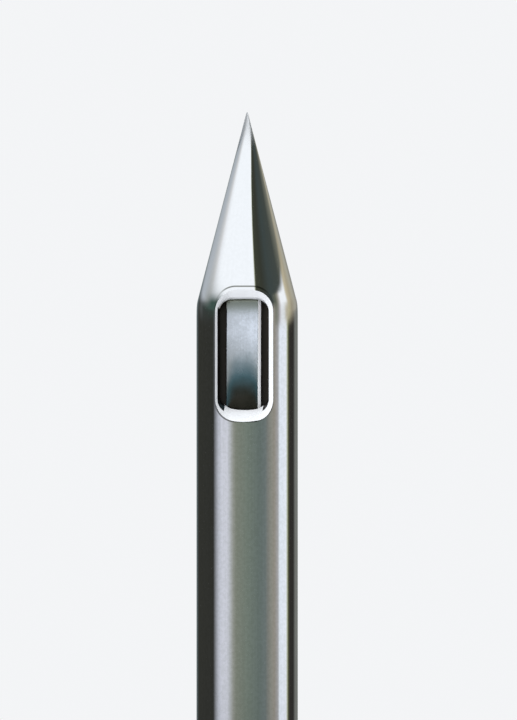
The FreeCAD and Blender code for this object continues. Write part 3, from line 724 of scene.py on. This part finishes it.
# a little above it, where the shoulder starts to turn
leftAbove = [(-146, (64, 67, 66)), (-131, (80, 84, 84)), (-119, (58, 62, 60)), (-83, (50, 51, 48))]
justAbove = eyeLevel[:2] + leftAbove + eyeLevel[4:-9]
justAbove += [(69, (120, 123, 110)), (76, (140, 140, 134)), (81, (190, 188, 192)), (86, (226, 230, 234)),
              (94, (222, 226, 228)), (101, (190, 184, 166)), (111, (184, 178, 150)), (124, (156, 149, 130)),
              (142, (166, 163, 150)), (180, (150, 148, 142))]
# higher up, where the cone looks
higherUp = [(-180, (158, 166, 170)), (-146, (170, 177, 184)), (-126, (180, 187, 194)),
            (-110, (200, 203, 206)), (-101, (217, 219, 221)), (-93, (237, 241, 246)), (-80, (250, 255, 260)),
            (19, (250, 255, 260)), (20.5, (168, 174, 140)), (22, (62, 66, 54)), (40, (55, 58, 51)),
            (60, (62, 71, 70)), (92, (68, 74, 70)), (110, (106, 108, 98)), (132, (130, 130, 119)),
            (180, (128, 128, 122))]
# and between the two, where the shoulder looks
onShoulder = higherUp[:-4] + [(72, (104, 107, 95)), (78, (158, 156, 148)), (82, (214, 213, 214)),
                              (86, (246, 250, 254)), (103, (246, 250, 254)), (111, (196, 187, 160)),
                              (124, (172, 164, 142)), (142, (172, 170, 156)), (180, (136, 134, 126))]

# Each of these takes over from the ring of cards under it between two heights
higherRings = ((justAbove, 0.012, 0.03), (onShoulder, 0.04, 0.13), (higherUp, 0.22, 0.275))

# A dark card low on the left, which only the shoulder sees: how it rises and falls away upwards and sideways
darkCard = {"tone": (62, 82, 76), "rise": (0.02, 0.06), "fall": (0.09, 0.34), "left": (0.125, 0.256),
            "right": (0.306, 0.361)}


def cardRing(tree, place, cards):
    # behind the needle both ends of a ring run into one tone
    first, last = cards[0][1], cards[-1][1]
    seam = tuple((a + b) / 2 for a, b in zip(first, last))
    closed = [(-180, seam), (-162, first), *cards[1:-1], (162, last), (180, seam)]
    return ramp(tree, place, [((degrees + 180) / 360, tone(*colour)) for degrees, colour in closed])


def buildWorld():
    world = bpy.data.worlds.new("softStudio")
    bpy.context.scene.world = world
    world.use_nodes = True
    world.cycles.sampling_method = "NONE"
    tree = world.node_tree
    tree.nodes.clear()
    look = addNode(tree, "ShaderNodeTexCoord").outputs["Generated"]
    part = addNode(tree, "ShaderNodeSeparateXYZ", None, {0: look}).outputs
    # the direction as a share of a full turn, with the camera's in the middle
    azimuth = sums(tree, "ARCTAN2", part[0], sums(tree, "MULTIPLY", part[1], -1.0))
    place = sums(tree, "MULTIPLY_ADD", azimuth, 0.5 / math.pi, 1.5 - view["turn"] / (2 * math.pi))
    place = sums(tree, "FRACT", place)
    height = part[2]
    level = ringed = cardRing(tree, place, eyeLevel)
    for cards, start, end in higherRings:
        ringed = blendColours(tree, fade(tree, height, start, end), ringed, cardRing(tree, place, cards))
    card = fade(tree, height, *darkCard["rise"])
    for value, name, first, last in ((height, "fall", 1.0, 0.0), (place, "left", 0.0, 1.0),
                                     (place, "right", 1.0, 0.0)):
        card = sums(tree, "MULTIPLY", card, fade(tree, value, *darkCard[name], first, last))
    carded = blendColours(tree, card, ringed, tone(*darkCard["tone"]))
    above = blendColours(tree, fade(tree, height, *studio["domeAt"]), carded, studio["dome"])
    low = blendColours(tree, fade(tree, height, *studio["farDownAt"]), studio["farDown"], level)
    below = blendColours(tree, fade(tree, height, *studio["underfootAt"]), low, studio["underfoot"])
    shine = blendColours(tree, fade(tree, height, *studio["horizonAt"]), below, above)
    path = addNode(tree, "ShaderNodeLightPath").outputs
    side = addNode(tree, "ShaderNodeVectorMath", {"operation": "DOT_PRODUCT"},
                   {0: look, 1: studio["softFrom"]}).outputs["Value"]
    soft = blendColours(tree, fade(tree, side, *studio["softAt"]), studio["softFoot"], studio["softTop"])
    seen = blendColours(tree, path["Is Glossy Ray"], soft, shine)
    direct = sums(tree, "MAXIMUM", path["Is Camera Ray"], path["Is Transmission Ray"])
    colour = blendColours(tree, direct, seen, studio["backdrop"])
    background = addNode(tree, "ShaderNodeBackground", None, {"Color": colour, "Strength": 1.0})
    addNode(tree, "ShaderNodeOutputWorld", None, {"Surface": background.outputs[0]})


def buildFloor():
    startFresh()
    bpy.ops.mesh.primitive_circle_add(vertices=96, radius=studio["floorRadius"], fill_type="NGON")
    floor = bpy.context.object
    floor.name = "floor"
    material, tree, shader = newMaterial("paleFloor", Base_Color=studio["floorColour"], Roughness=0.7)
    place = addNode(tree, "ShaderNodeTexCoord").outputs["Object"]
    reach = addNode(tree, "ShaderNodeVectorMath", {"operation": "LENGTH"}, {0: place}).outputs["Value"]
    tree.links.new(fade(tree, reach, *studio["floorFade"], 1.0, 0.0), shader.inputs["Alpha"])
    floor.data.materials.append(material)
    floor.visible_glossy = False


def addLamp(name, place, power):
    startFresh()
    bpy.ops.object.light_add(type="AREA", location=place)
    lamp = bpy.context.object
    lamp.name = name
    lamp.data.shape = "DISK"
    lamp.data.size = studio["lampSize"]
    lamp.data.energy = power
    lamp.visible_glossy = False
    lamp.visible_transmission = False
    aim = Vector(studio["lampAim"]) - Vector(place)
    lamp.rotation_euler = aim.to_track_quat("-Z", "Y").to_euler()


buildWorld()
buildFloor()
addLamp("keyLight", (-0.45, -0.55, 0.75), 1.5)
addLamp("fillLight", (0.6, 0.35, 0.5), 0.4)
print("studio is ready")


# Camera

turn = view["turn"]
place = Vector((math.sin(turn), -math.cos(turn), 0)) * view["distance"]
place += Vector((math.cos(turn), math.sin(turn), 0)) * view["right"]
place.z = levels["point"] / 1000 - view["belowPoint"]
startFresh()
bpy.ops.object.camera_add(location=place, rotation=(math.pi / 2, 0, turn))
camera = bpy.context.object
camera.data.lens = view["lens"]
camera.data.sensor_width = 36
camera.data.clip_start = 0.001
bpy.context.scene.camera = camera
bpy.context.scene.view_settings.view_transform = "Standard"
